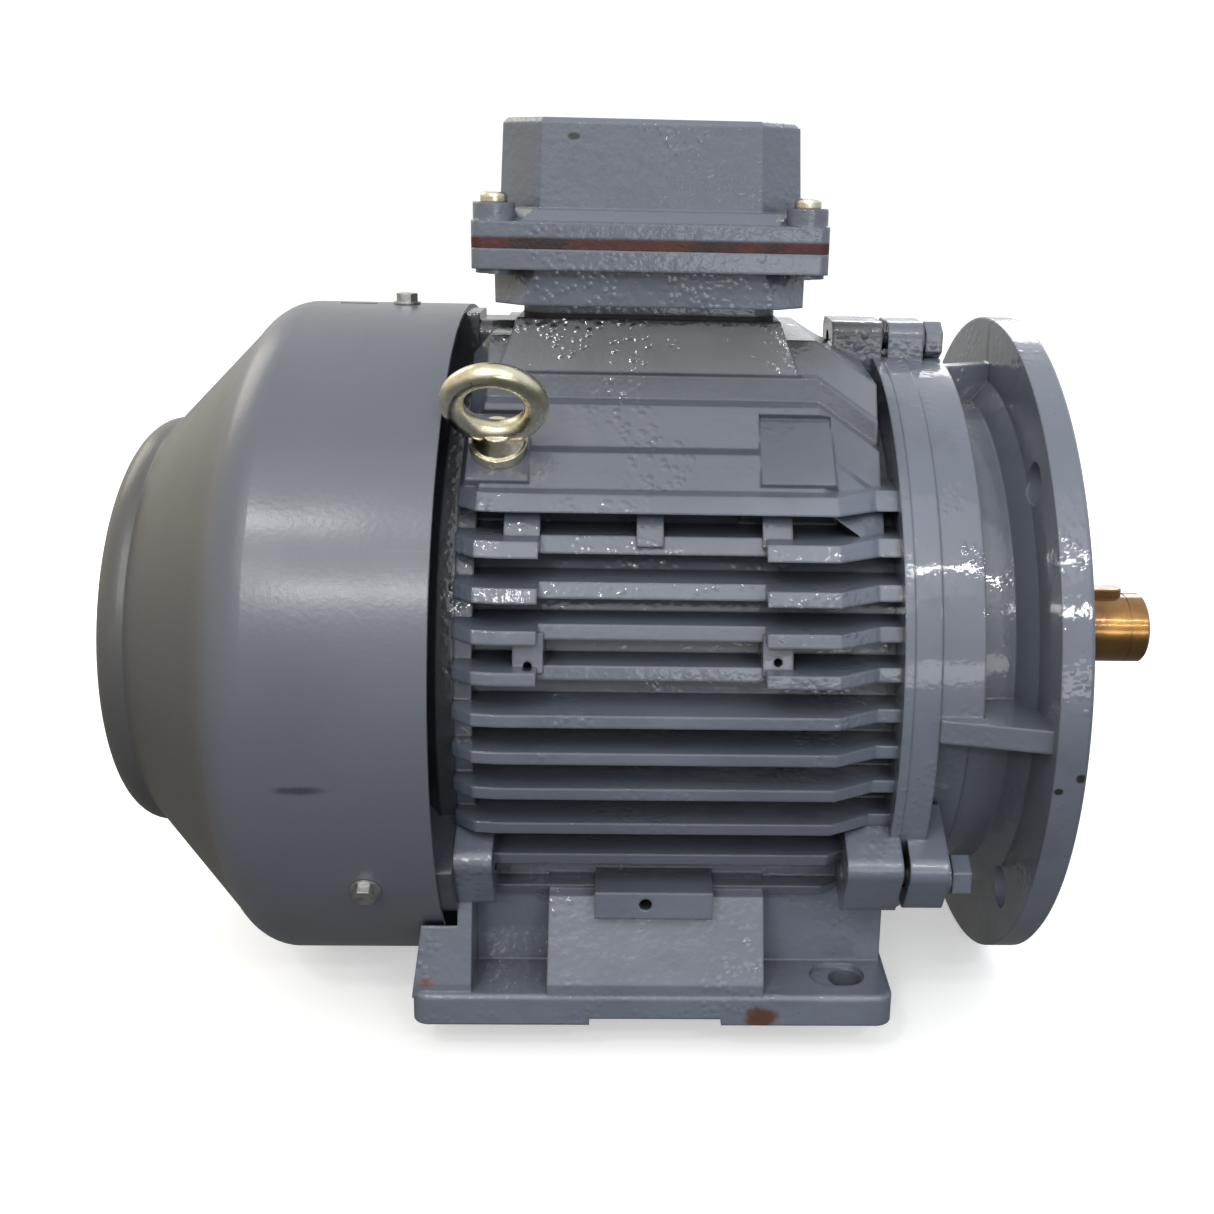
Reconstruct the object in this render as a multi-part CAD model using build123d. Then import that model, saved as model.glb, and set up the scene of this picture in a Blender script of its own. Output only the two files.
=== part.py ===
from build123d import *
import math
import os

# Three-phase electric motor, frame size 112M, foot and flange mounted.
# Millimetres. X runs along the shaft (+X is the drive end), Z is up.
# The origin is the centre of the flange's mounting face.

# ---- driving dimensions -------------------------------------------------
SHAFT_HEIGHT = 112.0
FOOT_SPACING_X = 140.0
FOOT_SPACING_Y = 190.0
FOOT_HOLE_D = 12.0
FOOT_HOLE_X = -70.0
FOOT_OUT_Y = 109.0
FOOT_THICK = 11.4
FOOT_X0, FOOT_X1 = -222.5, -54.7

FLANGE_R = 125.0
FLANGE_THICK = 11.0
SPIGOT_R = 90.0
SPIGOT_LEN = 4.0
FLANGE_PCD = 215.0
FLANGE_HOLE_D = 15.0

SHAFT_R = 14.0
SHAFT_LEN = 60.0
KEY_W, KEY_H = 8.0, 7.0
KEY_X0, KEY_X1 = 3.0, 51.0
TIP_X = 52.5
SEAT_R = 15.0

FRAME_X0, FRAME_X1 = -207.0, -55.0
FRAME_BORE = 87.5
FRAME_WALL_R = 95.0
RING_R = 111.5
FIN_R = 115.0
FIN_Z = [70.2, 56.5, 42.8, 30.0, 16.9, 3.1, -10.0, -23.4, -37.7, -52.1, -69.6]
PLATE_X0, PLATE_X1 = -179.0, -104.0
PLATE_R = 108.0

LUG_ANGLES = [90.0, -30.0, 210.0]
LUG_R = 124.0
BOLT_CIRCLE_R = 116.0
BOSS_ANGLE = 50.0
BOSS_R = 111.3
PAD_TOP_Z = 126.5
EYE_X = -194.2
SPARE_BOSS_X = -92.6

COWL_R = 126.5
COWL_T = 1.5
COWL_X1 = -212.2
COWL_CORNER_X = -279.6
COWL_X0 = -335.5
COWL_END_R = 80.0
COWL_SCREW_X = -236.0
COWL_SCREW_ANGLES = [90.0, -27.5, 207.5]

CORE_R = 50.0
AIR_GAP = 0.4
CORE_X0, CORE_X1 = -186.0, -86.0

BOX_X = -143.6
BOX_HALF = 60.9
BOX_FLANGE_Z = 144.0
GASKET_Z = 151.0
LID_Z = 154.6
LID_TOP_Z = 194.4
ENTRY_Z = 136.5
ENTRY_R = 6.8

BEARING_W = 16.0
BEARING_R = 31.0
DE_BEARING_X = -38.0
NDE_BEARING_X = -224.0

FAN_X = -262.0
FAN_R = 104.0

os.makedirs("parts", exist_ok=True)


# ---- helpers ------------------------------------------------------------
def block(x0, x1, y0, y1, z0, z1):
    """Box between two corners."""
    centre = Pos((x0 + x1) / 2, (y0 + y1) / 2, (z0 + z1) / 2)
    return centre * Box(x1 - x0, y1 - y0, z1 - z0)


def rod(r, x0, x1, y=0.0, z=0.0):
    """Cylinder lying along X."""
    return Pos((x0 + x1) / 2, y, z) * Rot(0, 90, 0) * Cylinder(r, x1 - x0)


def post(r, z0, z1, x=0.0, y=0.0):
    """Cylinder standing along Z."""
    return Pos(x, y, (z0 + z1) / 2) * Cylinder(r, z1 - z0)


def turned(points):
    """Solid turned about the X axis from (x, radius) points."""
    face = make_face(Polyline(*points, close=True))
    return revolve(face, Axis.X)


def ring(r_out, r_in, x0, x1):
    return turned([(x0, r_in), (x1, r_in), (x1, r_out), (x0, r_out)])


def around(angle, shape):
    """Turn a shape built at the top to an angle measured from -Y towards +Z."""
    return Rot(90.0 - angle, 0, 0) * shape


def both_sides(shape):
    """The shape and its mirror image across the XZ plane."""
    return shape + mirror(shape, about=Plane.XZ)


def hex_rod_x(af, x0, x1, y=0.0, z=0.0):
    """Hexagonal bar lying along X, af across its flats."""
    profile = RegularPolygon(radius=af / math.sqrt(3), side_count=6)
    bar = extrude(profile, amount=x1 - x0)
    return Pos(x0, y, z) * Rot(0, 90, 0) * bar


def hex_post(af, z0, z1, x=0.0, y=0.0):
    profile = RegularPolygon(radius=af / math.sqrt(3), side_count=6)
    return Pos(x, y, z0) * extrude(profile, amount=z1 - z0)


def fuse(shapes):
    """Union of a list of overlapping shapes."""
    result = shapes[0]
    for shape in shapes[1:]:
        result = result + shape
    return result


def save(shape, name):
    export_step(shape, f"parts/{name}.step")


def save_group(shapes, name):
    """Several separate solids in one file."""
    solids = []
    for shape in shapes:
        solids += shape.solids()
    save(Compound(children=solids), name)


# ---- stator frame -------------------------------------------------------
def fin(z):
    """One drafted side fin, before it is trimmed to the envelope."""
    outline = Polyline((-60, z - 3.6), (-120, z - 2.0), (-120, z + 2.0), (-60, z + 3.6), close=True)
    return Pos(FRAME_X0, 0, 0) * extrude(Plane.YZ * make_face(outline), amount=FRAME_X1 - FRAME_X0)


def frame_lug(angle, x0, x1, r_out):
    lug = block(x0, x1, -14, 14, 92, r_out)
    lug = fillet(lug.edges().filter_by(Axis.X).group_by(Axis.Z)[-1], 5)
    return around(angle, lug)


def boss(x, half_x, half_t):
    """Flat-topped boss for a lifting eye, sloped at its sides."""
    base = Pos(x, 0, 88) * Rectangle(2 * half_x + 18, 2 * half_t + 8)
    top = Pos(x, 0, BOSS_R) * Rectangle(2 * half_x, 2 * half_t)
    body = loft([base.face(), top.face()]) & block(FRAME_X0, FRAME_X1, -40, 40, 80, 120)
    return around(BOSS_ANGLE, body)


def shoulder_section(x, turn, shrink):
    """Stepped outline of the near shoulder, turned down and drawn in by a little."""
    points = [
        (0, 60), (0, 120), (-43, 120), (-50.5, 108.5), (-52.5, 107.5), (-54, 99.5), (-60, 98.5),
        (-62, 96), (-70, 85.5), (-74, 84), (-83, 73), (-88, 68), (-60, 60),
    ]
    placed = []
    for y, z in points:
        r = math.hypot(y, z) * shrink
        a = math.atan2(z, -y) - math.radians(turn if y < 0 else 0)
        placed.append((-r * math.cos(a), r * math.sin(a)) if y < 0 else (0, z * shrink))
    return Pos(x, 0, 0) * (Plane.YZ * make_face(Polyline(*placed, close=True)))


def shoulder():
    """Stepped top of the frame, with its steps bending down at the drive end."""
    main = extrude(shoulder_section(-200, 0, 1.0), amount=116)
    bend = loft([shoulder_section(-84, 0, 1.0).face(), shoulder_section(-63, 6.5, 0.925).face()])
    back = loft([shoulder_section(-206, 0, 0.94).face(), shoulder_section(-200, 0, 1.0).face()])
    half = main + bend + back
    pad_base = Pos(BOX_X, 0, 106) * Rectangle(108, 103)
    pad_top = Pos(BOX_X, 0, PAD_TOP_Z) * Rectangle(93, 88)
    return both_sides(half) + loft([pad_base.face(), pad_top.face()])


def end_gusset():
    """Upright rib across the fan end of a foot."""
    outline = Polyline((FOOT_X0, -103), (-218, -66), (-202, -66), (-202, -103), close=True)
    rib = Pos(0, -78, 0) * extrude(Plane.XZ * make_face(outline), amount=29)
    lean = Polyline((-70, -112), (-107.5, -112), (-107.5, -100), (-98, -60), (-70, -60), close=True)
    return rib & (Pos(-240, 0, 0) * extrude(Plane.YZ * make_face(lean), amount=200))


def foot():
    """Near-side foot with its web and centre block."""
    plate = block(FOOT_X0, FOOT_X1, -FOOT_OUT_Y, -70, -SHAFT_HEIGHT, -SHAFT_HEIGHT + FOOT_THICK)
    corners = plate.edges().filter_by(Axis.Z).group_by(Axis.Y)[0]
    plate = fillet(corners, 6)
    plate = fillet(plate.faces().sort_by(Axis.Z)[-1].edges().sort_by(Axis.Y)[0], 2)
    web = block(-219, -60, -86, -72, -SHAFT_HEIGHT, -52)
    web += block(-62, -56.5, -86, -72, -SHAFT_HEIGHT, -66)
    outline = Polyline(
        (-78, -SHAFT_HEIGHT), (-108.4, -SHAFT_HEIGHT), (-108.4, -97), (-96, -70), (-78, -62), close=True
    )
    centre = Pos(-175.7, 0, 0) * extrude(Plane.YZ * make_face(outline), amount=75.2)
    step = block(-159.6, -118.8, -104, -80, -74, -64)
    result = plate + web + centre + step + end_gusset()
    result -= Pos(-142, -100, -68.5) * Rot(90, 0, 0) * Cylinder(2.2, 12)
    result -= block(-161, -115, -130, -60, -120, -SHAFT_HEIGHT + 2.4)
    for x in (FOOT_HOLE_X, FOOT_HOLE_X - FOOT_SPACING_X):
        result -= post(FOOT_HOLE_D / 2, -120, -90, x, -FOOT_SPACING_Y / 2)
    seat = SlotOverall(19.5, 14)
    top_z = -SHAFT_HEIGHT + FOOT_THICK
    result -= Pos(-73, -FOOT_SPACING_Y / 2, top_z - 1.5) * extrude(seat, amount=5)
    clearance = rod(COWL_R + 2.0, -230, FRAME_X0)
    return result - clearance


def stator_frame():
    envelope = turned(
        [(-207, 0), (-207, 108), (-200, 114), (-192, FIN_R), (-80, FIN_R), (-66, 107), (-55, 107), (-55, 0)]
    )
    shell = rod(FRAME_WALL_R, FRAME_X0, FRAME_X1)
    side = fuse([fin(z) for z in FIN_Z])
    near_cut = block(PLATE_X0, PLATE_X1, -130, -60, 10, 64) - rod(PLATE_R, -190, -90)
    near = side - near_cut
    pads = []
    for x0, x1 in ((-191, -179), (-147, -138), (-105, -95)):
        pads.append(block(x0, x1, -112, -86, 56.5, 70.2))
    for x0, x1 in ((-187, -177), (-105, -95)):
        pads.append(block(x0, x1, -112, -86, 16.9, 30))
    near += fuse(pads) & rod(PLATE_R + 1.5, -210, -50)
    for x, z in ((-183, 61.5), (-182, 19.5), (-100, 21.5)):
        near -= Pos(x, -104, z) * Rot(90, 0, 0) * Cylinder(1.4, 14)
    far = mirror(side, about=Plane.XZ)

    body = shell + (near & envelope) + (far & envelope) + shoulder()
    body += rod(RING_R, -58.5, FRAME_X1) + rod(102.5, FRAME_X0, -201)
    for x, half_x in ((EYE_X, 10.5), (SPARE_BOSS_X, 12.5)):
        above = around(BOSS_ANGLE, block(x - half_x, x + half_x, -14.5, 14.5, BOSS_R, BOSS_R + 12))
        body = body - both_sides(above) + both_sides(boss(x, half_x, 14.5))
    for angle in LUG_ANGLES:
        body += frame_lug(angle, -74, FRAME_X1, LUG_R)
        body += frame_lug(angle, FRAME_X0, -194, 122)
    body += both_sides(foot())
    body -= rod(FRAME_BORE, -210, -50)
    body -= post(24, 80, 130, BOX_X, 0)
    for angle in LUG_ANGLES:
        body -= around(angle, rod(3.6, -75, -54, 0, BOLT_CIRCLE_R))
        body -= around(angle, rod(3.6, -208, -193, 0, 112))
    for sx in (-1, 1):
        for sy in (-1, 1):
            body -= post(2.2, 108, 130, BOX_X + 34 * sx, 30 * sy)
    body -= both_sides(around(BOSS_ANGLE, post(4.0, 95, 115, EYE_X, 0)))
    return body


# ---- end shields --------------------------------------------------------
def shield_lug(angle, x0, x1, r_out, width=26.0):
    lug = block(x0, x1, -width / 2, width / 2, 96, r_out)
    lug = fillet(lug.edges().filter_by(Axis.X).group_by(Axis.Z)[-1], 6)
    return around(angle, lug)


def drive_end_shield():
    outer = turned(
        [
            (-62, 0), (-62, FRAME_BORE), (FRAME_X1, FRAME_BORE), (FRAME_X1, RING_R), (-46, RING_R),
            (-46, RING_R - 1.2), (-31.4, RING_R - 1.2), (-31.4, 93), (-17, 93), (-FLANGE_THICK, 101),
            (-FLANGE_THICK, FLANGE_R), (-1.2, FLANGE_R), (0, FLANGE_R - 1.2), (0, SPIGOT_R),
            (SPIGOT_LEN - 0.8, SPIGOT_R), (SPIGOT_LEN, SPIGOT_R - 0.8), (SPIGOT_LEN, 0),
        ]
    )
    pocket = ring(120, 95, -46, -31.4) & block(-46, -31.4, -130, 130, -130, -4)
    body = outer - pocket
    for angle, start, end in ((0, 112.5, 121), (90, 105, 108), (180, 112.5, 121), (270, 105, 108)):
        outline = Polyline((-46, 80), (-46, start), (-11, end), (-11, 80), close=True)
        rib = Pos(0, 4, 0) * extrude(Plane.XZ * make_face(outline), amount=8)
        body += around(angle, rib)
    for angle in LUG_ANGLES:
        body += shield_lug(angle, -52.5, -39, LUG_R)
        body -= around(angle, rod(4.5, -56, -38, 0, BOLT_CIRCLE_R))
        body -= around(angle, rod(9.5, -39, -26, 0, BOLT_CIRCLE_R))
    cavity = turned(
        [(-63, 0), (-63, 81), (-44, 81), (-34, 72), (-20, 68), (-20, 40), (-39, 40), (-39, 0)]
    )
    body -= cavity
    body -= rod(BEARING_R, -50, DE_BEARING_X + BEARING_W)
    body -= rod(26, -30, -19)
    body -= rod(16.0, -30, 10)
    body -= rod(24.0, -10, 10)
    body -= ring(74, 34, -3, 10)
    for i in range(4):
        body -= around(45 + 90 * i, rod(FLANGE_HOLE_D / 2, -20, 5, 0, FLANGE_PCD / 2))
    return body


def nondrive_end_shield():
    outer = turned(
        [
            (-232, 0), (-232, 40), (-222, 44), (-217, 98), (-213, 102.5), (FRAME_X0, 102.5),
            (FRAME_X0, FRAME_BORE), (-200, FRAME_BORE), (-200, 0),
        ]
    )
    body = outer
    for angle in LUG_ANGLES:
        body += shield_lug(angle, -245, FRAME_X0, COWL_R + 2, 24) & rod(COWL_R - COWL_T, -250, -200)
    body -= turned([(-199, 0), (-199, 80), (-209, 78), (-212, 40), (-206, 40), (-206, 0)])
    body -= rod(BEARING_R, NDE_BEARING_X - 3.0, -199)
    body -= rod(16.0, -240, -199)
    for angle in LUG_ANGLES:
        body -= around(angle, rod(4.5, -214, -200, 0, 112))
        body -= around(angle, rod(9.0, -250, -213.5, 0, 112))
    for angle in COWL_SCREW_ANGLES:
        body -= around(angle, post(2.6, 108, 130, COWL_SCREW_X, 0))
    return body


def bolt_x(angle, r, seat_x, tip_x, head_d, out):
    """Hexagon bolt lying along X; out is the side its head stands."""
    if out > 0:
        head = hex_rod_x(head_d, seat_x, seat_x + 6.5, 0, r)
        shank = rod(3.5, tip_x, seat_x, 0, r)
    else:
        head = hex_rod_x(head_d, seat_x - 5.5, seat_x, 0, r)
        shank = rod(3.5, seat_x, tip_x, 0, r)
    return around(angle, head + shank)


# ---- bearings -----------------------------------------------------------
BALL_R = 4.75
BALL_CIRCLE_R = 23.0
BALL_PLAY = 0.05


def race_groove(x):
    """Torus that clears the balls by the working play."""
    centre = x + BEARING_W / 2
    return Pos(centre, 0, 0) * Rot(0, 90, 0) * Torus(BALL_CIRCLE_R, BALL_R + BALL_PLAY)


def inner_race(x):
    return ring(19.2, SEAT_R, x, x + BEARING_W) - race_groove(x)


def outer_race(x):
    return ring(BEARING_R, 26.8, x, x + BEARING_W) - race_groove(x)


def ball_positions(x):
    spots = []
    for i in range(9):
        a = math.radians(40 * i)
        spots.append((x + BEARING_W / 2, BALL_CIRCLE_R * math.cos(a), BALL_CIRCLE_R * math.sin(a)))
    return spots


def balls(x):
    return [Pos(*spot) * Sphere(BALL_R) for spot in ball_positions(x)]


def cage(x):
    centre = x + BEARING_W / 2
    body = ring(24.6, 21.4, centre - 6, centre + 6)
    for spot in ball_positions(x):
        body -= Pos(*spot) * Sphere(BALL_R)
    return body


# ---- rotor --------------------------------------------------------------
def shaft():
    body = turned(
        [
            (-287, 0), (-287, 11.4), (-286, 12), (-243, 12), (-243, SEAT_R), (-206, SEAT_R),
            (-206, 19), (-60, 19), (-60, 17.5), (-38, 17.5), (-38, SEAT_R), (0, SEAT_R),
            (0, SHAFT_R), (TIP_X - 1, SHAFT_R), (TIP_X - 1, SHAFT_R - 0.3), (TIP_X, SHAFT_R - 0.3),
            (TIP_X, SHAFT_R), (SHAFT_LEN - 1, SHAFT_R), (SHAFT_LEN, SHAFT_R - 1), (SHAFT_LEN, 0),
        ]
    )
    slot = SlotOverall(KEY_X1 - KEY_X0, KEY_W)
    body -= Pos((KEY_X0 + KEY_X1) / 2, 0, SHAFT_R - 4) * extrude(slot, amount=8)
    body -= block(-275, -255, -2.5, 2.5, 9, 16)
    body -= ring(16, 11.2, -279.2, -277.8)
    centre_hole = turned([(57, 0), (57, 2.6), (58.5, 2.6), (61, 5.2), (61, 0)])
    return body - centre_hole


def shaft_key():
    slot = SlotOverall(KEY_X1 - KEY_X0, KEY_W)
    key = Pos((KEY_X0 + KEY_X1) / 2, 0, SHAFT_R - 4) * extrude(slot, amount=KEY_H)
    return chamfer(key.faces().sort_by(Axis.Z)[-1].edges(), 0.5)


def rotor_cage():
    """Two end rings with cast vanes."""
    rings = []
    for x0, x1, side in ((CORE_X1, CORE_X1 + 10, 1), (CORE_X0 - 10, CORE_X0, -1)):
        body = ring(48, 34, x0, x1)
        for i in range(8):
            if side > 0:
                vane = block(x1 - 1, x1 + 7, -1.5, 1.5, 36, 47)
            else:
                vane = block(x0 - 7, x0 + 1, -1.5, 1.5, 36, 47)
            body += around(45 * i, vane)
        rings.append(body)
    return rings


def fan():
    hub = ring(20, 12, FAN_X - 16, FAN_X + 14)
    disc = ring(FAN_R, 18, FAN_X + 9, FAN_X + 12)
    body = hub + disc
    for i in range(8):
        blade = block(FAN_X - 16, FAN_X + 10, -1.25, 1.25, 18, FAN_R - 4)
        body += around(45 * i, blade)
    limit = turned([(-300, 0), (-300, 84), (-258, FAN_R + 2), (-240, FAN_R + 2), (-240, 0)])
    body = body & limit
    return body - block(-275, -255, -2.5, 2.5, 9, 14.3)


# ---- fan cowl -----------------------------------------------------------
def cowl_skin(offset):
    """Outline of the cowl, moved in by the sheet thickness."""
    r = COWL_R - offset
    x0 = COWL_X0 + offset
    start = (COWL_X1 + (2 if offset else 0), r)
    corner_in = (COWL_CORNER_X + 9, r)
    corner_mid = (COWL_CORNER_X + 0.5, r - 2.2)
    corner_out = (COWL_CORNER_X - 6, r - 8.0)
    cone_end = (COWL_X0 + 12, COWL_END_R - offset)
    band_end = (COWL_X0 + 9.5, COWL_END_R - offset)
    nose = (COWL_X0 + 2.8 + offset * 0.7, COWL_END_R - 2.8 - offset * 0.7)
    face_edge = (x0, COWL_END_R - 9.5)
    top = Polyline(start, corner_in)
    bend = ThreePointArc(corner_in, corner_mid, corner_out)
    cone = Polyline(corner_out, cone_end, band_end)
    tip = ThreePointArc(band_end, nose, face_edge)
    face = Polyline(face_edge, (x0, 0), (start[0], 0), start)
    return revolve(make_face([top, bend, cone, tip, face]), Axis.X)


def fan_cowl():
    body = cowl_skin(0) - cowl_skin(COWL_T)
    for count, radius in ((1, 0), (6, 12), (12, 24), (18, 36), (24, 48), (30, 60)):
        for i in range(count):
            a = math.radians(360 / count * i)
            body -= rod(3.9, -340, -330, radius * math.cos(a), radius * math.sin(a))
    for angle in COWL_SCREW_ANGLES:
        body -= around(angle, post(3.3, 118, 132, COWL_SCREW_X, 0))
    body -= around(89, block(-261, -247, -1.5, 1.5, 118, 132))
    return body


# ---- terminal box -------------------------------------------------------
def octagon(half_x, half_y, cut, z):
    """Rectangle with its corners cut off, on a level plane."""
    points = [
        (half_x - cut, -half_y), (half_x, -half_y + cut), (half_x, half_y - cut), (half_x - cut, half_y),
        (-half_x + cut, half_y), (-half_x, half_y - cut), (-half_x, -half_y + cut), (-half_x + cut, -half_y),
    ]
    return Pos(BOX_X, 0, z) * make_face(Polyline(*points, close=True))


def box_prism(half, cut, z0, z1, half_top=None, cut_top=None):
    half_top = half if half_top is None else half_top
    cut_top = cut if cut_top is None else cut_top
    return loft([octagon(half, half, cut, z0).face(), octagon(half_top, half_top, cut_top, z1).face()])


def rim(z0, z1):
    """Box flange: square with rounded corners."""
    plate = block(BOX_X - BOX_HALF, BOX_X + BOX_HALF, -BOX_HALF, BOX_HALF, z0, z1)
    return fillet(plate.edges().filter_by(Axis.Z), 4)


def lid_screw_spots():
    offset = BOX_HALF - 7.5
    return [(BOX_X + sx * offset, sy * offset) for sx in (-1, 1) for sy in (-1, 1)]


def terminal_box_base():
    body = box_prism(54.2, 10, 131.5, 144.5, 55, 16)
    body += rim(BOX_FLANGE_Z, GASKET_Z)
    neck = block(BOX_X - 45, BOX_X + 45, -43, 43, PAD_TOP_Z + 1.5, 132)
    body += fillet(neck.edges().filter_by(Axis.Z), 10)
    for x, y in lid_screw_spots():
        body += post(6.5, 142.5, GASKET_Z, x, y)
    body -= box_prism(45, 15, 133.5, 153, 50.5, 13)
    body -= post(22, 118, 136, BOX_X, 0)
    for sx in (-1, 1):
        for sy in (-1, 1):
            body -= post(2.7, 118, 138, BOX_X + 34 * sx, 30 * sy)
    body += Pos(BOX_X, 57, ENTRY_Z) * Rot(90, 0, 0) * Cylinder(ENTRY_R + 3, 18)
    body -= Pos(BOX_X, 60, ENTRY_Z) * Rot(90, 0, 0) * Cylinder(ENTRY_R, 30)
    body -= post(2.2, 126, 136, BOX_X + 36, -12)
    for x, y in lid_screw_spots():
        body -= post(2.2, 140, 152, x, y)
    return body


def terminal_box_lid():
    body = box_prism(53.2, 15, LID_Z, LID_TOP_Z, 51.5, 14)
    top_edges = body.faces().sort_by(Axis.Z)[-1].edges()
    body = chamfer(top_edges, 1.6)
    plate = rim(LID_Z, LID_Z + 5.5)
    body += plate
    body += box_prism(58.5, 14, LID_Z + 5, LID_Z + 9.5, 54, 14)
    for x, y in lid_screw_spots():
        body += post(7.2, LID_Z, LID_Z + 11.5, x, y)
    body -= box_prism(47.5, 11, LID_Z - 1, LID_TOP_Z - 4, 46.5, 10)
    for x, y in lid_screw_spots():
        body -= post(2.7, LID_Z - 1, LID_Z + 13, x, y)
    return body


def sheet_gasket(z0, z1):
    body = rim(z0, z1) - box_prism(51, 13, z0 - 1, z1 + 1)
    for x, y in lid_screw_spots():
        body -= post(2.7, z0 - 1, z1 + 1, x, y)
    return body


def screw_z(x, y, z_seat, z_tip, r_shank, head_r, head_h):
    """Pan-head screw standing along Z with a cross recess."""
    head = post(head_r, z_seat, z_seat + head_h, x, y)
    head = fillet(head.faces().sort_by(Axis.Z)[-1].edges(), head_h * 0.45)
    body = head + post(r_shank, z_tip, z_seat, x, y)
    top = z_seat + head_h
    body -= block(x - 0.5, x + 0.5, y - head_r * 0.6, y + head_r * 0.6, top - 1.2, top + 1)
    body -= block(x - head_r * 0.6, x + head_r * 0.6, y - 0.5, y + 0.5, top - 1.2, top + 1)
    return body


# ---- lifting eye --------------------------------------------------------
def eyebolt():
    """Ring and collar of a size 8 lifting eye, standing on its boss."""
    seat = BOSS_R
    eye = Pos(EYE_X, 0, seat + 22) * Rot(90, 0, 0) * Torus(14, 4.05)
    collar = Pos(EYE_X, 0, seat + 2.0) * Cylinder(10, 4)
    neck = Pos(EYE_X, 0, seat + 6.5) * Cone(9, 5.5, 6)
    thread = post(4.0, seat - 13, seat + 1, EYE_X, 0)
    body = eye + collar + neck + thread
    return around(BOSS_ANGLE, body)


# ---- export -------------------------------------------------------------
save(stator_frame(), "stator_frame")
save(drive_end_shield(), "drive_end_shield")
save(nondrive_end_shield(), "nondrive_end_shield")

DE_SEAT = -39.0
save_group([bolt_x(a, BOLT_CIRCLE_R, DE_SEAT + 2.2, -72, 13, 1) for a in LUG_ANGLES], "drive_shield_bolts")
save_group(
    [around(a, rod(6.2, DE_SEAT, DE_SEAT + 2.2, 0, BOLT_CIRCLE_R) - rod(3.5, -45, -30, 0, BOLT_CIRCLE_R))
     for a in LUG_ANGLES],
    "drive_spring_washers",
)
NDE_SEAT = -213.5
save_group([bolt_x(a, 112, NDE_SEAT - 2.2, -196, 13, -1) for a in LUG_ANGLES], "nondrive_shield_bolts")
save_group(
    [around(a, rod(6.2, NDE_SEAT - 2.2, NDE_SEAT, 0, 112) - rod(3.5, -220, -210, 0, 112)) for a in LUG_ANGLES],
    "nondrive_spring_washers",
)

save(ring(FRAME_BORE, CORE_R + AIR_GAP, CORE_X0, CORE_X1), "stator_core")
winding_de = ring(80, 54, CORE_X1, CORE_X1 + 22)
winding_nde = ring(80, 54, CORE_X0 - 9.5, CORE_X0)
windings = []
for winding, end in ((winding_de, CORE_X1 + 22), (winding_nde, CORE_X0 - 9.5)):
    outer_edges = winding.edges().filter_by(GeomType.CIRCLE).filter_by(lambda e, x=end: abs(e.center().X - x) < 0.1)
    windings.append(fillet(outer_edges, 4))
save_group(windings, "stator_winding")

save(shaft(), "shaft")
save(shaft_key(), "shaft_key")
save(ring(CORE_R, 19, CORE_X0, CORE_X1), "rotor_core")
save_group(rotor_cage(), "rotor_cage")

save(inner_race(DE_BEARING_X), "drive_inner_race")
save(outer_race(DE_BEARING_X), "drive_outer_race")
save_group(balls(DE_BEARING_X), "drive_balls")
save(cage(DE_BEARING_X), "drive_ball_cage")
save(inner_race(NDE_BEARING_X), "nondrive_inner_race")
save(outer_race(NDE_BEARING_X), "nondrive_outer_race")
save_group(balls(NDE_BEARING_X), "nondrive_balls")
save(cage(NDE_BEARING_X), "nondrive_ball_cage")
save(ring(30.5, 25, NDE_BEARING_X - 3.0, NDE_BEARING_X), "preload_spring")
save(ring(20.5, SEAT_R, -9.4, -6) + ring(18, SEAT_R, -6, -3), "drive_shaft_seal")
save(ring(20.5, SEAT_R, -236, -232.6) + ring(18, SEAT_R, -239, -236), "nondrive_shaft_seal")

save(fan(), "cooling_fan")
save(block(-274.5, -255.5, -2.5, 2.5, 9, 14.2), "fan_key")
clip = ring(15.5, 11.2, -279.2, -278) - block(-280, -277, -3, 3, 5, 20)
save(clip, "fan_circlip")

save(fan_cowl(), "fan_cowl")
screws = []
washers = []
for angle in COWL_SCREW_ANGLES:
    seat = COWL_R
    washer = post(5.2, seat, seat + 0.8, COWL_SCREW_X, 0) - post(2.6, seat - 1, seat + 2, COWL_SCREW_X, 0)
    head = hex_post(7, seat + 0.8, seat + 4.0, COWL_SCREW_X, 0)
    screws.append(around(angle, head + post(2.5, seat - 12, seat + 0.8, COWL_SCREW_X, 0)))
    washers.append(around(angle, washer))
save_group(screws, "cowl_screws")
save_group(washers, "cowl_screw_washers")

save(terminal_box_base(), "terminal_box_base")
seat_gasket = block(BOX_X - 45, BOX_X + 45, -43, 43, PAD_TOP_Z, PAD_TOP_Z + 1.5)
seat_gasket = fillet(seat_gasket.edges().filter_by(Axis.Z), 10) - post(22, 120, 130, BOX_X, 0)
for sx in (-1, 1):
    for sy in (-1, 1):
        seat_gasket -= post(2.7, 120, 130, BOX_X + 34 * sx, 30 * sy)
save(seat_gasket, "box_seat_gasket")
save_group(
    [screw_z(BOX_X + 34 * sx, 30 * sy, 133.5, 110, 2.2, 4.2, 3.0) for sx in (-1, 1) for sy in (-1, 1)],
    "box_fixing_screws",
)
save(sheet_gasket(GASKET_Z, LID_Z), "lid_gasket")
save(terminal_box_lid(), "terminal_box_lid")
save_group(
    [screw_z(x, y, LID_Z + 11.5, 142, 2.2, 4.6, 3.4) for x, y in lid_screw_spots()], "lid_screws"
)

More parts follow.
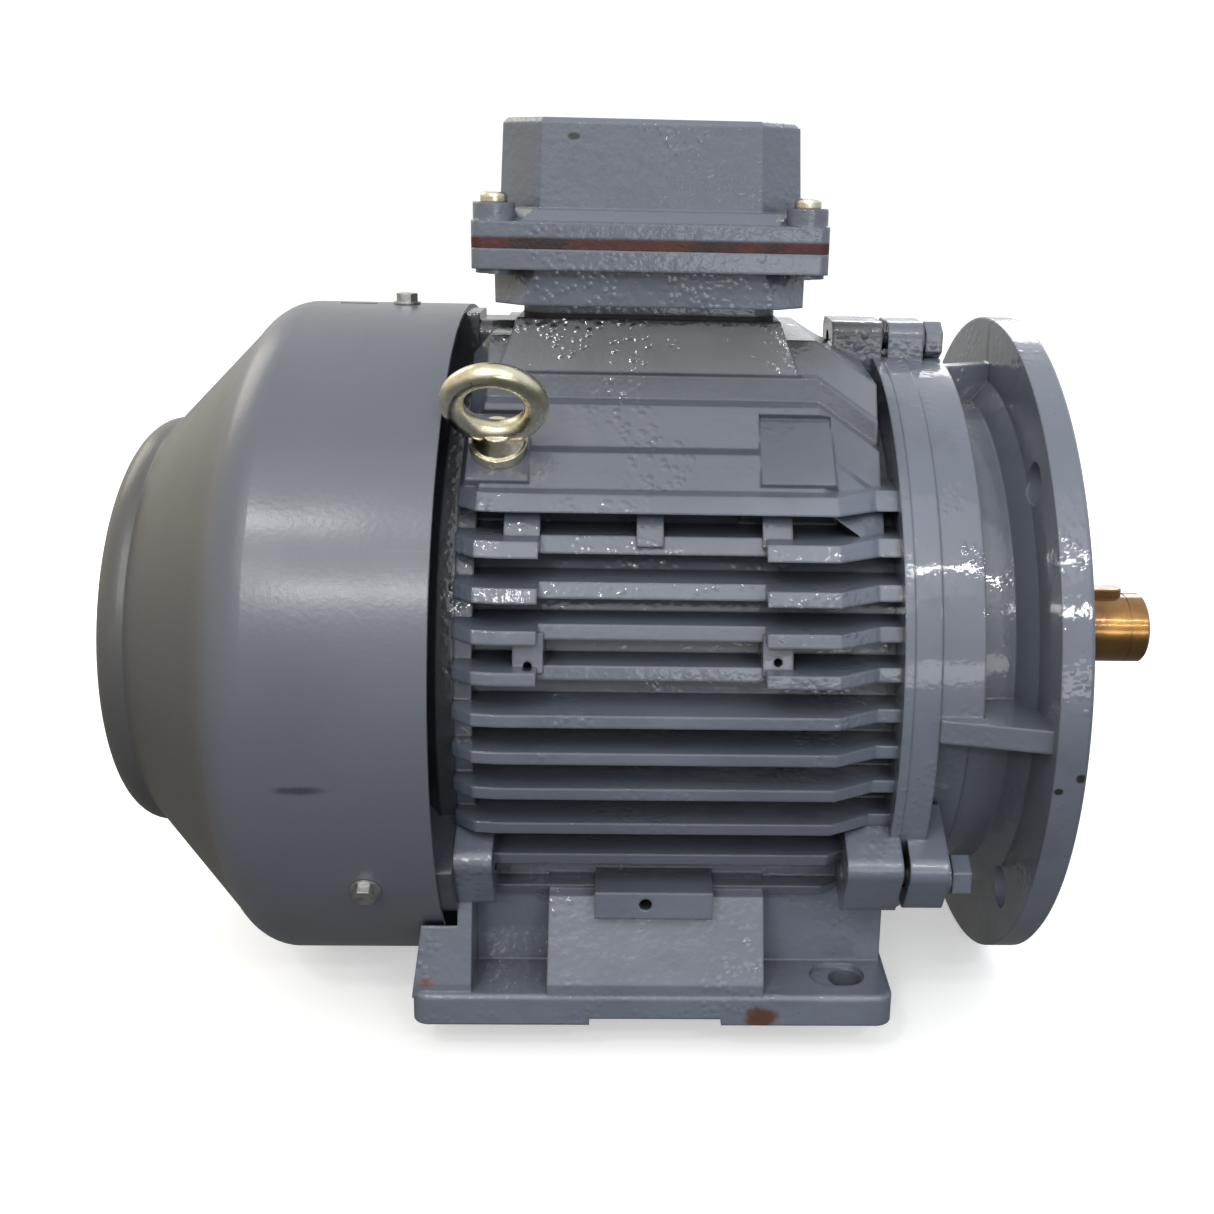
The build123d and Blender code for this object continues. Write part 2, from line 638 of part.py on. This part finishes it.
board = block(BOX_X - 24, BOX_X + 24, -21, 21, 138, 150)
feet_posts = [block(BOX_X + sx * 20 - 3, BOX_X + sx * 20 + 3, -18, 18, 133.5, 138) for sx in (-1, 1)]
board = fuse([board] + feet_posts)
board = board - block(BOX_X - 25, BOX_X + 25, -1.5, 1.5, 146, 151)
studs = []
nuts = []
for i in (-1, 0, 1):
    for j in (-1, 1):
        x, y = BOX_X + 15 * i, 11 * j
        board -= post(2.0, 140, 151, x, y)
        studs.append(post(2.0, 140, 165, x, y))
        nuts.append(hex_post(7, 151.2, 154.4, x, y) - post(2.0, 150, 156, x, y))
save(board, "terminal_board")
save_group(studs, "terminal_studs")
save_group(nuts, "terminal_nuts")
links = []
for i in (-1, 0, 1):
    link = block(BOX_X + 15 * i - 4, BOX_X + 15 * i + 4, -15, 15, 150, 151.2)
    for j in (-1, 1):
        link -= post(2.0, 149, 152, BOX_X + 15 * i, 11 * j)
    links.append(link)
save_group(links, "terminal_links")
save(screw_z(BOX_X + 36, -12, 133.5, 128, 2.2, 4.2, 3.0), "earth_screw")

save(eyebolt(), "lifting_eyebolt")
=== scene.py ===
import math

import bpy
from mathutils import Matrix, Vector

# Places and lengths are metres in the frame: X along the shaft, Y away from the camera, Z up.
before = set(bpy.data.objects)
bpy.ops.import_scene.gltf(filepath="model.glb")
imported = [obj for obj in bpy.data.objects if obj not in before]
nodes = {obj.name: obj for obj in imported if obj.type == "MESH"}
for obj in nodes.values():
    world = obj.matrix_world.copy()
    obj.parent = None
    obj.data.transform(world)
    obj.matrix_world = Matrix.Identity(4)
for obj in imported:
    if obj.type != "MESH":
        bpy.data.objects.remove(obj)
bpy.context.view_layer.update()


# ---- node helpers -------------------------------------------------------
class Mat:
    """A Principled material with small helpers that add procedural detail."""

    def __init__(self, name, color, rough=0.5, metallic=0.0, coat=0.0, coat_rough=0.1, specular=0.5):
        self.mat = bpy.data.materials.new(name)
        self.mat.use_nodes = True
        self.tree = self.mat.node_tree
        self.bsdf = self.tree.nodes["Principled BSDF"]
        self.bsdf.inputs["Base Color"].default_value = (*color, 1)
        self.bsdf.inputs["Roughness"].default_value = rough
        self.bsdf.inputs["Metallic"].default_value = metallic
        self.bsdf.inputs["Coat Weight"].default_value = coat
        self.bsdf.inputs["Coat Roughness"].default_value = coat_rough
        self.bsdf.inputs["Specular IOR Level"].default_value = specular
        self.coord = self.tree.nodes.new("ShaderNodeTexCoord").outputs["Object"]

    def node(self, kind, **values):
        n = self.tree.nodes.new(kind)
        for key, value in values.items():
            setattr(n, key, value)
        return n

    def link(self, a, b):
        self.tree.links.new(a, b)

    def stretch(self, scale):
        m = self.node("ShaderNodeMapping")
        m.inputs["Scale"].default_value = scale
        self.link(self.coord, m.inputs["Vector"])
        return m.outputs["Vector"]

    def noise(self, scale, detail=3.0, rough=0.5, vector=None):
        n = self.node("ShaderNodeTexNoise")
        n.inputs["Scale"].default_value = scale
        n.inputs["Detail"].default_value = detail
        n.inputs["Roughness"].default_value = rough
        self.link(vector or self.coord, n.inputs["Vector"])
        return n.outputs["Fac"]

    def voronoi(self, scale):
        n = self.node("ShaderNodeTexVoronoi")
        n.inputs["Scale"].default_value = scale
        self.link(self.coord, n.inputs["Vector"])
        return n.outputs["Distance"]

    def wave(self, scale, distortion=0.0, **kind):
        """Regular lines, such as sheets in a stack or strands in a winding."""
        n = self.node("ShaderNodeTexWave", **kind)
        n.inputs["Scale"].default_value = scale
        n.inputs["Distortion"].default_value = distortion
        self.link(self.coord, n.inputs["Vector"])
        return n.outputs["Fac"]

    def ramp(self, value, low, high, a=0.0, b=1.0):
        n = self.node("ShaderNodeMapRange", clamp=True)
        n.interpolation_type = "SMOOTHSTEP"
        for key, v in (("From Min", low), ("From Max", high), ("To Min", a), ("To Max", b)):
            n.inputs[key].default_value = v
        self.link(value, n.inputs["Value"])
        return n.outputs["Result"]

    def math(self, op, a, b=None):
        n = self.node("ShaderNodeMath", operation=op)
        for i, v in enumerate((a, b)):
            if v is None:
                continue
            if isinstance(v, (int, float)):
                n.inputs[i].default_value = v
            else:
                self.link(v, n.inputs[i])
        return n.outputs[0]

    def spot(self, centre, size, edge=0.35, wobble=0.4, grain=300.0):
        """Mask that is 1 inside an uneven ellipsoid around a point, in metres."""
        m = self.node("ShaderNodeMapping", vector_type="POINT")
        m.inputs["Location"].default_value = [-c / s for c, s in zip(centre, size)]
        m.inputs["Scale"].default_value = [1 / s for s in size]
        self.link(self.coord, m.inputs["Vector"])
        length = self.node("ShaderNodeVectorMath", operation="LENGTH")
        self.link(m.outputs["Vector"], length.inputs[0])
        rough = self.math("MULTIPLY", self.math("SUBTRACT", self.noise(grain, 4), 0.5), wobble * 2)
        return self.ramp(self.math("ADD", length.outputs["Value"], rough), 1 - edge, 1 + edge, 1.0, 0.0)

    def tint(self, mask, color):
        """Lay a colour over what is there, by a mask."""
        self.mix_over("Base Color", "RGBA", mask, (*color, 1))

    def shade_rough(self, mask, value):
        """Change the roughness by a mask."""
        self.mix_over("Roughness", "FLOAT", mask, value)

    def mix_over(self, name, data_type, mask, value):
        socket = self.bsdf.inputs[name]
        mix = self.node("ShaderNodeMix", data_type=data_type)
        if socket.is_linked:
            self.link(socket.links[0].from_socket, mix.inputs["A"])
        else:
            mix.inputs["A"].default_value = socket.default_value
        mix.inputs["B"].default_value = value
        self.link(mask, mix.inputs["Factor"])
        self.link(mix.outputs["Result"], socket)

    def round_edges(self, radius):
        n = self.node("ShaderNodeBevel", samples=4)
        n.inputs["Radius"].default_value = radius
        for name in ("Normal", "Coat Normal"):
            self.link(n.outputs["Normal"], self.bsdf.inputs[name])

    def bump(self, height, distance, strength=1.0):
        n = self.node("ShaderNodeBump")
        n.inputs["Strength"].default_value = strength
        n.inputs["Distance"].default_value = distance
        self.link(height, n.inputs["Height"])
        socket = self.bsdf.inputs["Normal"]
        if socket.is_linked:
            self.link(socket.links[0].from_socket, n.inputs["Normal"])
        self.link(n.outputs["Normal"], socket)
        if self.bsdf.inputs["Coat Weight"].default_value > 0:
            self.link(n.outputs["Normal"], self.bsdf.inputs["Coat Normal"])

    def hollow(self, distance, low=0.25, high=0.85, most=1.0):
        """Mask that rises to its most deep in gaps and corners."""
        n = self.node("ShaderNodeAmbientOcclusion", samples=6)
        n.inputs["Distance"].default_value = distance
        return self.ramp(n.outputs["AO"], low, high, most, 0.0)


def wear(material, *names):
    """Give CAD nodes their material."""
    for name in names:
        mesh = nodes[name].data
        mesh.materials.clear()
        mesh.materials.append(material.mat)


# ---- paint --------------------------------------------------------------
PAINT = (0.104, 0.119, 0.155)
PAINT_DARK = (0.070, 0.080, 0.105)
PAINT_LIGHT = (0.124, 0.142, 0.184)
GRIME = (0.008, 0.009, 0.011)
PRIMER = (0.075, 0.034, 0.020)
FAINT_RUST = (0.16, 0.05, 0.035)
DEEP_SHADE = (0.010, 0.011, 0.015)
FOOT_EDGE_Y = -0.109
BOX_X = -0.1436


def cast_paint(name, sand=1.0, runs=1.0, lumps=1.0):
    """Thick brushed gloss over a sand casting: grain, sags and small wet beads, with painted shade in
    its gaps and corners.
    """
    m = Mat(name, PAINT, rough=0.38, coat=0.85, coat_rough=0.06)
    m.round_edges(0.0013)
    m.tint(m.ramp(m.noise(20, 3), 0.38, 0.72), PAINT_LIGHT)
    m.tint(m.ramp(m.noise(48, 4), 0.52, 0.80, 0, 0.5), PAINT_DARK)
    # Painted shade: broad and tight darkening towards PAINT_DARK in gaps, corners and under overhangs.
    m.tint(m.hollow(0.045, 0.08, 0.55, 0.6), tuple(0.42 * c for c in PAINT_DARK))
    m.tint(m.hollow(0.010, 0.06, 0.60), tuple(0.22 * c for c in PAINT_DARK))
    m.tint(m.ramp(m.noise(820, 2), 0.72, 0.77, 0, 0.55), GRIME)
    m.shade_rough(m.ramp(m.noise(70, 3), 0.35, 0.7), 0.46)
    m.bump(m.noise(330, 3, 0.55), 0.00022 * sand, 0.7)
    where = m.ramp(m.noise(30, 2), 0.50, 0.64)
    beads = m.ramp(m.voronoi(330), 0.05, 0.60, 1.0, 0.0)
    m.bump(m.math("MULTIPLY", beads, where), 0.00026 * lumps, 0.8)
    m.bump(m.noise(150, 2), 0.00034 * runs, 0.7)
    m.bump(m.noise(46, 2, vector=m.stretch((1.0, 1.0, 0.30))), 0.0008 * runs, 0.6)
    return m


def stain(material, *spots):
    """Small marks, each with its centre, half sizes, softness, unevenness and colour."""
    for centre, size, edge, wobble, color in spots:
        material.tint(material.spot(centre, size, edge, wobble), color)


frame_paint = cast_paint("frame_paint")
stain(
    frame_paint,
    ((-0.101, FOOT_EDGE_Y, -0.109), (0.0052, 0.004, 0.0042), 0.35, 0.4, PRIMER),
    ((-0.1515, -0.091, -0.0705), (0.0035, 0.004, 0.003), 0.5, 0.4, (0.03, 0.022, 0.018)),
    ((-0.2176, FOOT_EDGE_Y, -0.097), (0.003, 0.003, 0.002), 0.6, 0.4, FAINT_RUST),
)
# Shade painted on the shoulder and round the neck of the terminal box.
shoulder_shade = frame_paint.spot((-0.140, -0.060, 0.096), (0.085, 0.050, 0.034), 0.40, 0.15, 60)
frame_paint.tint(frame_paint.math("MULTIPLY", shoulder_shade, 0.95), PAINT_DARK)
neck_shade = frame_paint.spot((BOX_X, 0.0, 0.128), (0.10, 0.085, 0.024), 0.35, 0.15, 60)
frame_paint.tint(frame_paint.math("MULTIPLY", neck_shade, 0.95), DEEP_SHADE)
wear(frame_paint, "stator_frame")

shield_paint = cast_paint("shield_paint", 0.35, 0.55, 0.7)
stain(
    shield_paint,
    ((-0.011, 0.0, 0.1153), (0.004, 0.0026, 0.0078), 0.3, 0.12, (0.012, 0.006, 0.005)),
    ((-0.009, -0.124, -0.0156), (0.0016, 0.003, 0.0012), 0.3, 0.2, GRIME),
    ((-0.0023, -0.1245, -0.0108), (0.0016, 0.003, 0.0016), 0.3, 0.2, GRIME),
)
wear(shield_paint, "drive_end_shield")

back_shield_shade_paint = cast_paint("back_shield_painted_shade", 0.8, 0.6, 0.6)
# Painted shade: the whole non-drive shield darkened unevenly, 40 to 85 percent of the way, towards near
# black.
back_shield_shade_paint.tint(back_shield_shade_paint.ramp(back_shield_shade_paint.noise(90, 3), 0.15, 0.45, 0.4, 0.85), (0.022, 0.025, 0.034))
wear(back_shield_shade_paint, "nondrive_end_shield")

lid_paint = cast_paint("lid_paint", 1.5, 0.8, 0.6)
stain(lid_paint, ((-0.1701, -0.051, 0.1883), (0.0022, 0.003, 0.0012), 0.3, 0.3, GRIME))
wear(lid_paint, "terminal_box_lid")
wear(cast_paint("box_paint", 0.9, 0.7, 0.7), "terminal_box_base")

bolt_paint = cast_paint("bolt_paint", 0.2, 0.35, 0.6)
wear(bolt_paint, "drive_shield_bolts", "drive_spring_washers")
wear(bolt_paint, "nondrive_shield_bolts", "nondrive_spring_washers")

# ---- fan cowl: smooth sprayed sheet, with a darker, warmer reflection painted on its cone ---
CONE_X = -0.278  # where the cone starts to narrow
CONE_FADE = 0.014
cowl = Mat("cowl_paint", (0.096, 0.105, 0.130), rough=0.33, coat=0.30, coat_rough=0.20)
cowl.round_edges(0.0006)
cowl.tint(cowl.ramp(cowl.noise(9, 2), 0.38, 0.70), (0.108, 0.117, 0.145))
cowl.tint(cowl.ramp(cowl.noise(30, 5), 0.60, 0.80, 0, 0.35), (0.078, 0.086, 0.106))
along = cowl.node("ShaderNodeSeparateXYZ")
cowl.link(cowl.coord, along.inputs[0])
# Painted reflection: the cone darker and warmer, standing in for the olive surroundings it mirrors.
cone = cowl.ramp(along.outputs[0], CONE_X - CONE_FADE, CONE_X, 0.85, 0.0)
cowl.tint(cone, (0.064, 0.062, 0.060))
stain(cowl, ((-0.2538, -0.1255, -0.0170), (0.007, 0.004, 0.0013), 0.6, 0.5, (0.04, 0.045, 0.06)))
# Painted shade: darker in the cowl's gaps and corners.
cowl.tint(cowl.hollow(0.006, 0.2, 0.7), (0.02, 0.022, 0.03))
cowl.shade_rough(cowl.ramp(cowl.noise(45, 4), 0.35, 0.75), 0.40)
cowl.bump(cowl.noise(520, 2), 0.00005, 0.8)
cowl.bump(cowl.noise(14, 1), 0.0007, 0.5)
scratch = cowl.ramp(cowl.noise(60, 2, vector=cowl.stretch((0.15, 5.0, 5.0))), 0.76, 0.80, 0, 0.4)
cowl.tint(scratch, (0.13, 0.14, 0.16))
wear(cowl, "fan_cowl")

# ---- metals -------------------------------------------------------------
shaft = Mat("shaft_varnish", (0.44, 0.225, 0.055), rough=0.22, metallic=1.0, coat=0.9, coat_rough=0.06)
shaft.tint(shaft.ramp(shaft.noise(40, 4), 0.35, 0.70), (0.17, 0.075, 0.016))
shaft.tint(shaft.ramp(shaft.noise(120, 3), 0.62, 0.80, 0, 0.7), (0.60, 0.36, 0.13))
shaft.bump(shaft.noise(900, 2, vector=shaft.stretch((6.0, 0.1, 0.1))), 0.00006, 0.6)
shaft.bump(shaft.noise(80, 2), 0.0004, 0.5)
wear(shaft, "shaft", "shaft_key")

zinc = Mat("yellow_zinc", (0.80, 0.75, 0.58), rough=0.24, metallic=1.0, coat=0.2)
zinc.round_edges(0.0007)
zinc.tint(zinc.ramp(zinc.noise(70, 4), 0.46, 0.70), (0.55, 0.50, 0.35))
zinc.tint(zinc.ramp(zinc.noise(160, 3), 0.60, 0.74, 0, 0.7), (0.60, 0.45, 0.33))
zinc.tint(zinc.ramp(zinc.noise(260, 5), 0.66, 0.78, 0, 0.8), (0.13, 0.11, 0.07))
# Painted shade: darker in the corners and creases of the zinc parts.
zinc.tint(zinc.hollow(0.004, 0.2, 0.75), (0.10, 0.085, 0.05))
zinc.shade_rough(zinc.ramp(zinc.noise(120, 4), 0.40, 0.7), 0.40)
zinc.bump(zinc.noise(260, 4), 0.00035, 0.6)
wear(zinc, "lifting_eyebolt", "lid_screws", "box_fixing_screws")

grey_zinc = Mat("grey_zinc", (0.46, 0.46, 0.45), rough=0.38, metallic=0.9)
grey_zinc.round_edges(0.0005)
grey_zinc.tint(grey_zinc.ramp(grey_zinc.noise(300, 4), 0.45, 0.7), (0.30, 0.30, 0.29))
grey_zinc.tint(grey_zinc.ramp(grey_zinc.noise(700, 3), 0.66, 0.76, 0, 0.6), (0.10, 0.09, 0.08))
grey_zinc.bump(grey_zinc.noise(900, 3), 0.0001, 0.6)
wear(grey_zinc, "cowl_screws", "cowl_screw_washers")

steel = Mat("bearing_steel", (0.62, 0.63, 0.65), rough=0.16, metallic=1.0)
steel.shade_rough(steel.ramp(steel.noise(200, 3), 0.4, 0.7), 0.26)
steel.bump(steel.noise(1500, 2), 0.00002, 0.5)
for side in ("drive", "nondrive"):
    wear(steel, *(f"{side}_{part}" for part in ("inner_race", "outer_race", "balls", "ball_cage")))
wear(steel, "preload_spring", "fan_circlip", "fan_key")

stack = Mat("lamination_stack", (0.20, 0.20, 0.21), rough=0.5, metallic=0.8)
sheets = stack.wave(320, wave_type="BANDS", bands_direction="X")
stack.bump(sheets, 0.00015, 0.8)
stack.tint(stack.ramp(stack.noise(60, 4), 0.5, 0.75), (0.12, 0.09, 0.07))
wear(stack, "stator_core", "rotor_core")

cast_alu = Mat("cast_aluminium", (0.55, 0.55, 0.56), rough=0.42, metallic=1.0)
cast_alu.bump(cast_alu.noise(500, 4), 0.0002, 0.7)
wear(cast_alu, "rotor_cage")

copper = Mat("varnished_windings", (0.36, 0.13, 0.05), rough=0.28, coat=0.6)
strands = copper.wave(150, 5, wave_type="RINGS", rings_direction="X")
copper.bump(strands, 0.0006, 0.9)
copper.tint(copper.ramp(strands, 0.2, 0.8, 0, 0.6), (0.16, 0.05, 0.02))
wear(copper, "stator_winding")

brass = Mat("terminal_brass", (0.60, 0.43, 0.17), rough=0.28, metallic=1.0)
brass.tint(brass.ramp(brass.noise(300, 4), 0.5, 0.75), (0.36, 0.24, 0.09))
brass.bump(brass.noise(900, 2), 0.00006, 0.6)
wear(brass, "terminal_studs", "terminal_nuts", "terminal_links", "earth_screw")

# ---- plastics and rubbers ----------------------------------------------
board = Mat("board_resin", (0.20, 0.055, 0.025), rough=0.42)
board.tint(board.ramp(board.noise(400, 4), 0.55, 0.75, 0, 0.6), (0.10, 0.03, 0.015))
board.bump(board.noise(1200, 2), 0.00008, 0.6)
wear(board, "terminal_board")

fan_plastic = Mat("fan_plastic", (0.018, 0.018, 0.020), rough=0.5)
fan_plastic.tint(fan_plastic.ramp(fan_plastic.noise(50, 4), 0.5, 0.8, 0, 0.5), (0.05, 0.048, 0.045))
fan_plastic.bump(fan_plastic.noise(1100, 3), 0.00008, 0.7)
wear(fan_plastic, "cooling_fan")

seal = Mat("seal_rubber", (0.012, 0.012, 0.013), rough=0.62)
seal.bump(seal.noise(900, 3), 0.0001, 0.6)
wear(seal, "drive_shaft_seal", "nondrive_shaft_seal", "box_seat_gasket")

gasket = Mat("red_gasket", (0.060, 0.012, 0.008), rough=0.58)
gasket.round_edges(0.0005)
gasket.tint(gasket.ramp(gasket.noise(60, 4), 0.46, 0.62, 0, 0.9), (0.014, 0.007, 0.007))
gasket.tint(gasket.ramp(gasket.noise(240, 3), 0.64, 0.74, 0, 0.8), PAINT_DARK)
gasket.bump(gasket.noise(500, 4), 0.0004, 0.8)
wear(gasket, "lid_gasket")

# ---- floor --------------------------------------------------------------
FLOOR_HALF = 6
FLOOR_Z = -0.1266  # just under the flange, which is lower than the feet

corners = [(-FLOOR_HALF, -FLOOR_HALF, 0), (FLOOR_HALF, -FLOOR_HALF, 0)]
corners += [(FLOOR_HALF, FLOOR_HALF, 0), (-FLOOR_HALF, FLOOR_HALF, 0)]
floor_mesh = bpy.data.meshes.new("floor")
floor_mesh.from_pydata(corners, [], [(0, 1, 2, 3)])
floor = bpy.data.objects.new("floor", floor_mesh)
floor.location.z = FLOOR_Z
bpy.context.scene.collection.objects.link(floor)
floor_paint = Mat("floor_paint", (0.80, 0.80, 0.80), rough=0.9, specular=0.1)
floor_paint.bump(floor_paint.noise(60, 3), 0.0002, 0.3)
floor_paint.bsdf.inputs["Emission Color"].default_value = (1, 1, 1, 1)
floor_paint.bsdf.inputs["Emission Strength"].default_value = 0.40
floor_mesh.materials.append(floor_paint.mat)
floor.visible_diffuse = False
floor.visible_glossy = False

# ---- sky: dim below, bright above, warm behind the fan; plain white to the camera
SKY_LEVELS = ((0.30, 0.15), (0.46, 0.46), (0.56, 0.84), (0.80, 0.90))
SKY_BOTTOM = 0.13
SKY_TOP = 1.0
WARM = (1.0, 0.93, 0.76, 1)
COOL = (0.93, 0.96, 1.0, 1)

world = bpy.data.worlds.new("studio")
bpy.context.scene.world = world
world.use_nodes = True
sky = world.node_tree
join = sky.links.new
sky_light = sky.nodes["Background"]
sky_view = sky.nodes.new("ShaderNodeBackground")
sky_view.inputs["Color"].default_value = (1, 1, 1, 1)
sky_view.inputs["Strength"].default_value = 1.05
sky_way = sky.nodes.new("ShaderNodeSeparateXYZ")
join(sky.nodes.new("ShaderNodeTexCoord").outputs["Generated"], sky_way.inputs[0])
sky_height = sky.nodes.new("ShaderNodeMapRange")
sky_height.inputs["From Min"].default_value = -1.0
join(sky_way.outputs["Z"], sky_height.inputs["Value"])
sky_bands = sky.nodes.new("ShaderNodeValToRGB")
stops = sky_bands.color_ramp.elements
for height, strength in SKY_LEVELS:
    stops.new(height).color = (strength, strength, strength, 1)
stops[0].color = (SKY_BOTTOM, SKY_BOTTOM, SKY_BOTTOM, 1)
stops[-1].color = (SKY_TOP, SKY_TOP, SKY_TOP, 1)
join(sky_height.outputs["Result"], sky_bands.inputs["Fac"])
join(sky_bands.outputs["Color"], sky_light.inputs["Strength"])
sky_side = sky.nodes.new("ShaderNodeMapRange")
sky_side.inputs["From Min"].default_value = -0.9
sky_side.inputs["From Max"].default_value = 0.1
join(sky_way.outputs["X"], sky_side.inputs["Value"])
sky_tint = sky.nodes.new("ShaderNodeMix")
sky_tint.data_type = "RGBA"
sky_tint.inputs["A"].default_value = WARM
sky_tint.inputs["B"].default_value = COOL
join(sky_side.outputs["Result"], sky_tint.inputs["Factor"])
join(sky_tint.outputs["Result"], sky_light.inputs["Color"])
sky_mix = sky.nodes.new("ShaderNodeMixShader")
join(sky.nodes.new("ShaderNodeLightPath").outputs["Is Camera Ray"], sky_mix.inputs["Fac"])
join(sky_light.outputs[0], sky_mix.inputs[1])
join(sky_view.outputs[0], sky_mix.inputs[2])
join(sky_mix.outputs[0], sky.nodes["World Output"].inputs["Surface"])

# ---- sun and lamps ------------------------------------------------------
sun = bpy.data.objects.new("sun", bpy.data.lights.new("sun", "SUN"))
sun.data.energy = 0.55
sun.data.angle = math.radians(55)
sun.rotation_euler = (math.radians(42), math.radians(-8), 0)
bpy.context.scene.collection.objects.link(sun)

MIDDLE = (-0.14, 0, 0.02)
WHITE = (1, 1, 1)


def area(name, direction, distance, size, power, color=WHITE, target=MIDDLE):
    """Rectangular lamp, placed by the direction from which it lights its target."""
    light = bpy.data.lights.new(name, "AREA")
    light.shape = "RECTANGLE"
    light.size, light.size_y = size
    light.energy = power
    light.color = color
    obj = bpy.data.objects.new(name, light)
    towards = Vector(direction).normalized()
    obj.location = Vector(target) + towards * distance
    obj.rotation_euler = (-towards).to_track_quat("-Z", "Y").to_euler()
    bpy.context.scene.collection.objects.link(obj)


# Glints on the cowl, on the shield and along the fins.
area("lamp_near", (-0.19, -0.88, 0.44), 1.9, (0.30, 0.10), 5, target=(-0.233, -0.117, 0.047))
area("lamp_high", (-0.26, -0.62, 0.74), 2.0, (0.16, 0.16), 5, target=(-0.266, -0.107, 0.067))
area("lamp_right", (0.31, -0.87, 0.38), 1.9, (0.07, 0.07), 1.6, target=(-0.007, -0.117, 0.044))
area("lamp_row", (0.30, -0.75, 0.60), 2.0, (0.5, 0.03), 4)
area("lamp_dot", (-0.35, -0.80, 0.50), 2.2, (0.05, 0.05), 1.5)
# Fill for the feet and for the far side.
area("lamp_low", (0.25, -1.0, 0.05), 1.8, (1.0, 0.25), 2.5, target=(-0.05, -0.1, -0.07))
area("lamp_rear", (0.25, 1.0, 0.55), 2.0, (1.2, 0.8), 12, (0.97, 0.98, 1.0))
area("lamp_back", (-0.7, 0.5, 0.6), 2.0, (0.9, 0.9), 6, (1.0, 0.94, 0.80))

# ---- camera -------------------------------------------------------------
CAMERA_AT = (-0.1477, -0.5293, 0.1741)
YAW, PITCH, ROLL = math.radians(1.75), math.radians(13.62), math.radians(1.26)
ahead = Vector((math.sin(YAW) * math.cos(PITCH), math.cos(YAW) * math.cos(PITCH), -math.sin(PITCH)))
level = Vector((math.cos(YAW), -math.sin(YAW), 0))
upright = level.cross(ahead)
right = level * math.cos(ROLL) + upright * math.sin(ROLL)
up = upright * math.cos(ROLL) - level * math.sin(ROLL)
camera = bpy.data.objects.new("camera", bpy.data.cameras.new("camera"))
camera.data.sensor_width = 36
camera.data.lens = 40.46
camera.data.shift_x = -0.0563
camera.data.shift_y = -0.0781
camera.data.clip_start = 0.01
place = Matrix((right, up, -ahead)).transposed().to_4x4()
place.translation = Vector(CAMERA_AT)
camera.matrix_world = place
bpy.context.scene.collection.objects.link(camera)
bpy.context.scene.camera = camera
bpy.context.scene.view_settings.view_transform = "Standard"
